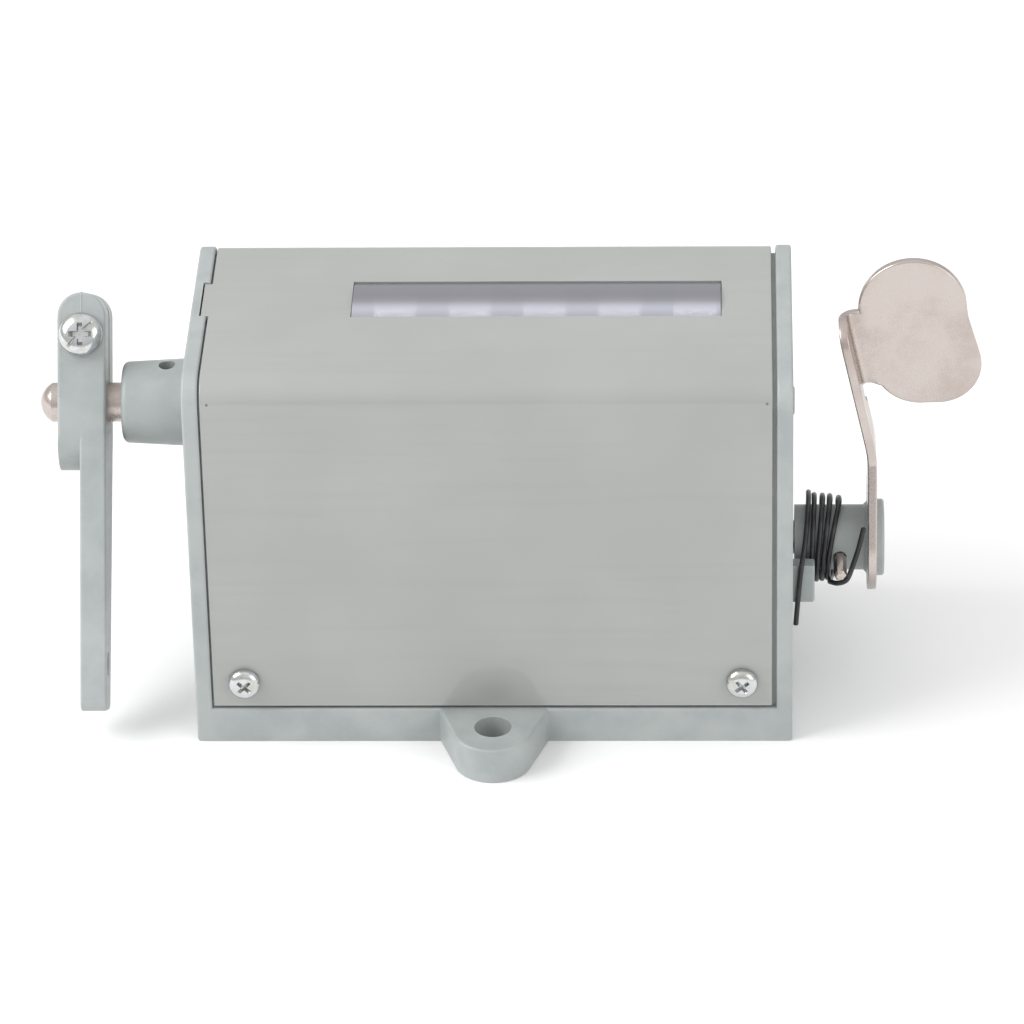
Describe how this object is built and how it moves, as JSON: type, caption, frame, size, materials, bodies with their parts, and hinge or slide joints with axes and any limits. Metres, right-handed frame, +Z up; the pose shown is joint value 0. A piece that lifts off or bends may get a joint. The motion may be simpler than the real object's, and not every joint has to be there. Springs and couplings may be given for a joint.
{
  "type": "pull-stroke counter",
  "caption": "Mechanical stroke counter: cast frame, sheet cover with a reading window, clamped drive lever on the left, sprung thumb reset lever on the right.",
  "frame": {"origin": "on the underside of the cast base, midway between the cheeks and straight below the reset shaft's axis", "axes": "+X along the number wheels towards the reset lever, -Y towards the reader, +Z up, out of the base"},
  "size_m": [0.166, 0.0816, 0.0806],
  "materials": {
    "casting_paint": "hammered stove enamel, semi-gloss",
    "cover_paint": "smooth semi-gloss enamel",
    "clear_lens": "clear moulded acrylic",
    "mask_black": "matt black",
    "zinc_plate": "bright zinc plate",
    "nickel_plate": "bright nickel plate",
    "bronze": "sintered bronze, oiled",
    "steel": "bright zinc-plated steel",
    "spring_black": "black oxide spring wire",
    "wheel_black": "moulded plastic",
    "pinion_white": "natural nylon"
  },
  "bodies": {
    "root": {"frame_casting": "casting_paint", "cover": "cover_paint", "window_lens": "clear_lens", "digit_mask": "mask_black", "cover_screws": "zinc_plate", "drive_bush": "bronze", "arbor_bush": "bronze", "reset_bush": "bronze", "partition_plate": "steel", "plate_screws": "zinc_plate", "plate_arbor_bush": "bronze", "plate_reset_bush": "bronze", "pinion_rod": "steel", "stop_rod": "steel", "rod_clips": "steel", "pinion_spacers": "steel", "hold_pawl_pin": "steel", "return_spring": "spring_black", "reset_spring": "spring_black"},
    "drive": {"drive_shaft": "nickel_plate", "drive_lever": "casting_paint", "clamp_screw": "zinc_plate", "pawl_carrier": "steel", "carrier_pin": "steel", "drive_pawl_pin": "steel"},
    "drive_pawl": {"drive_pawl": "steel"},
    "hold_pawl": {"hold_pawl": "steel"},
    "reset": {"reset_shaft": "nickel_plate", "reset_hub": "casting_paint", "reset_pin": "nickel_plate", "reset_lever": "nickel_plate", "hub_cap": "casting_paint", "reset_hammers": "steel", "hammer_pin": "steel"},
    "ten_thousands": {"wheel_ten_thousands": "wheel_black", "heart_cam_ten_thousands": "steel"},
    "thousands": {"wheel_thousands": "wheel_black", "heart_cam_thousands": "steel"},
    "hundreds": {"wheel_hundreds": "wheel_black", "heart_cam_hundreds": "steel"},
    "tens": {"wheel_tens": "wheel_black", "heart_cam_tens": "steel"},
    "units": {"wheel_units": "wheel_black", "heart_cam_units": "steel", "wheel_arbor": "steel", "arbor_pins": "steel", "arbor_clip": "steel", "arbor_spacer": "steel", "ratchet_wheel": "steel"},
    "carry_ten_thousands": {"pinion_ten_thousands": "pinion_white"},
    "carry_thousands": {"pinion_thousands": "pinion_white"},
    "carry_hundreds": {"pinion_hundreds": "pinion_white"},
    "carry_tens": {"pinion_tens": "pinion_white"}
  },
  "joints": [
    {"name": "drive_lever_hinge", "type": "hinge", "parent": "root", "child": "drive", "pos_m": [-0.0705, 0.0058, 0.0513], "axis": [-1, 0, 0], "range_deg": [0, 50], "stiffness_Nm_per_rad": 0.08, "springref_deg": -34.38, "deforming": ["return_spring"]},
    {"name": "drive_pawl_hinge", "type": "hinge", "parent": "drive", "child": "drive_pawl", "pos_m": [-0.0358, -0.00684, 0.0586], "axis": [1, 0, 0], "range_deg": [0, 10], "stiffness_Nm_per_rad": 0.002, "springref_deg": -22.92},
    {"name": "hold_pawl_hinge", "type": "hinge", "parent": "root", "child": "hold_pawl", "pos_m": [-0.0358, 0.01079, 0.03758], "axis": [1, 0, 0], "range_deg": [0, 10], "stiffness_Nm_per_rad": 0.002, "springref_deg": -22.92},
    {"name": "reset_lever_hinge", "type": "hinge", "parent": "root", "child": "reset", "pos_m": [0.066, 0, 0.0267], "axis": [1, 0, 0], "range_deg": [0, 45], "stiffness_Nm_per_rad": 0.06, "springref_deg": -34.38, "deforming": ["reset_spring"]},
    {"name": "ten_thousands_spin", "type": "hinge", "parent": "root", "child": "ten_thousands", "pos_m": [-0.01685, 0.0058, 0.0513], "axis": [1, 0, 0], "continuous": true},
    {"name": "thousands_spin", "type": "hinge", "parent": "root", "child": "thousands", "pos_m": [-0.00375, 0.0058, 0.0513], "axis": [1, 0, 0], "continuous": true},
    {"name": "hundreds_spin", "type": "hinge", "parent": "root", "child": "hundreds", "pos_m": [0.00935, 0.0058, 0.0513], "axis": [1, 0, 0], "continuous": true},
    {"name": "tens_spin", "type": "hinge", "parent": "root", "child": "tens", "pos_m": [0.02245, 0.0058, 0.0513], "axis": [1, 0, 0], "continuous": true},
    {"name": "units_spin", "type": "hinge", "parent": "root", "child": "units", "pos_m": [0.03555, 0.0058, 0.0513], "axis": [1, 0, 0], "continuous": true},
    {"name": "carry_ten_thousands_spin", "type": "hinge", "parent": "root", "child": "carry_ten_thousands", "pos_m": [-0.01045, -0.0152, 0.0513], "axis": [1, 0, 0], "continuous": true},
    {"name": "carry_thousands_spin", "type": "hinge", "parent": "root", "child": "carry_thousands", "pos_m": [0.00265, -0.0152, 0.0513], "axis": [1, 0, 0], "continuous": true},
    {"name": "carry_hundreds_spin", "type": "hinge", "parent": "root", "child": "carry_hundreds", "pos_m": [0.01575, -0.0152, 0.0513], "axis": [1, 0, 0], "continuous": true},
    {"name": "carry_tens_spin", "type": "hinge", "parent": "root", "child": "carry_tens", "pos_m": [0.02885, -0.0152, 0.0513], "axis": [1, 0, 0], "continuous": true}
  ],
  "couplings": [
    {"joint": "carry_ten_thousands_spin", "follows": "ten_thousands_spin", "ratio": -2.5},
    {"joint": "carry_thousands_spin", "follows": "thousands_spin", "ratio": -2.5},
    {"joint": "carry_hundreds_spin", "follows": "hundreds_spin", "ratio": -2.5},
    {"joint": "carry_tens_spin", "follows": "tens_spin", "ratio": -2.5}
  ]
}
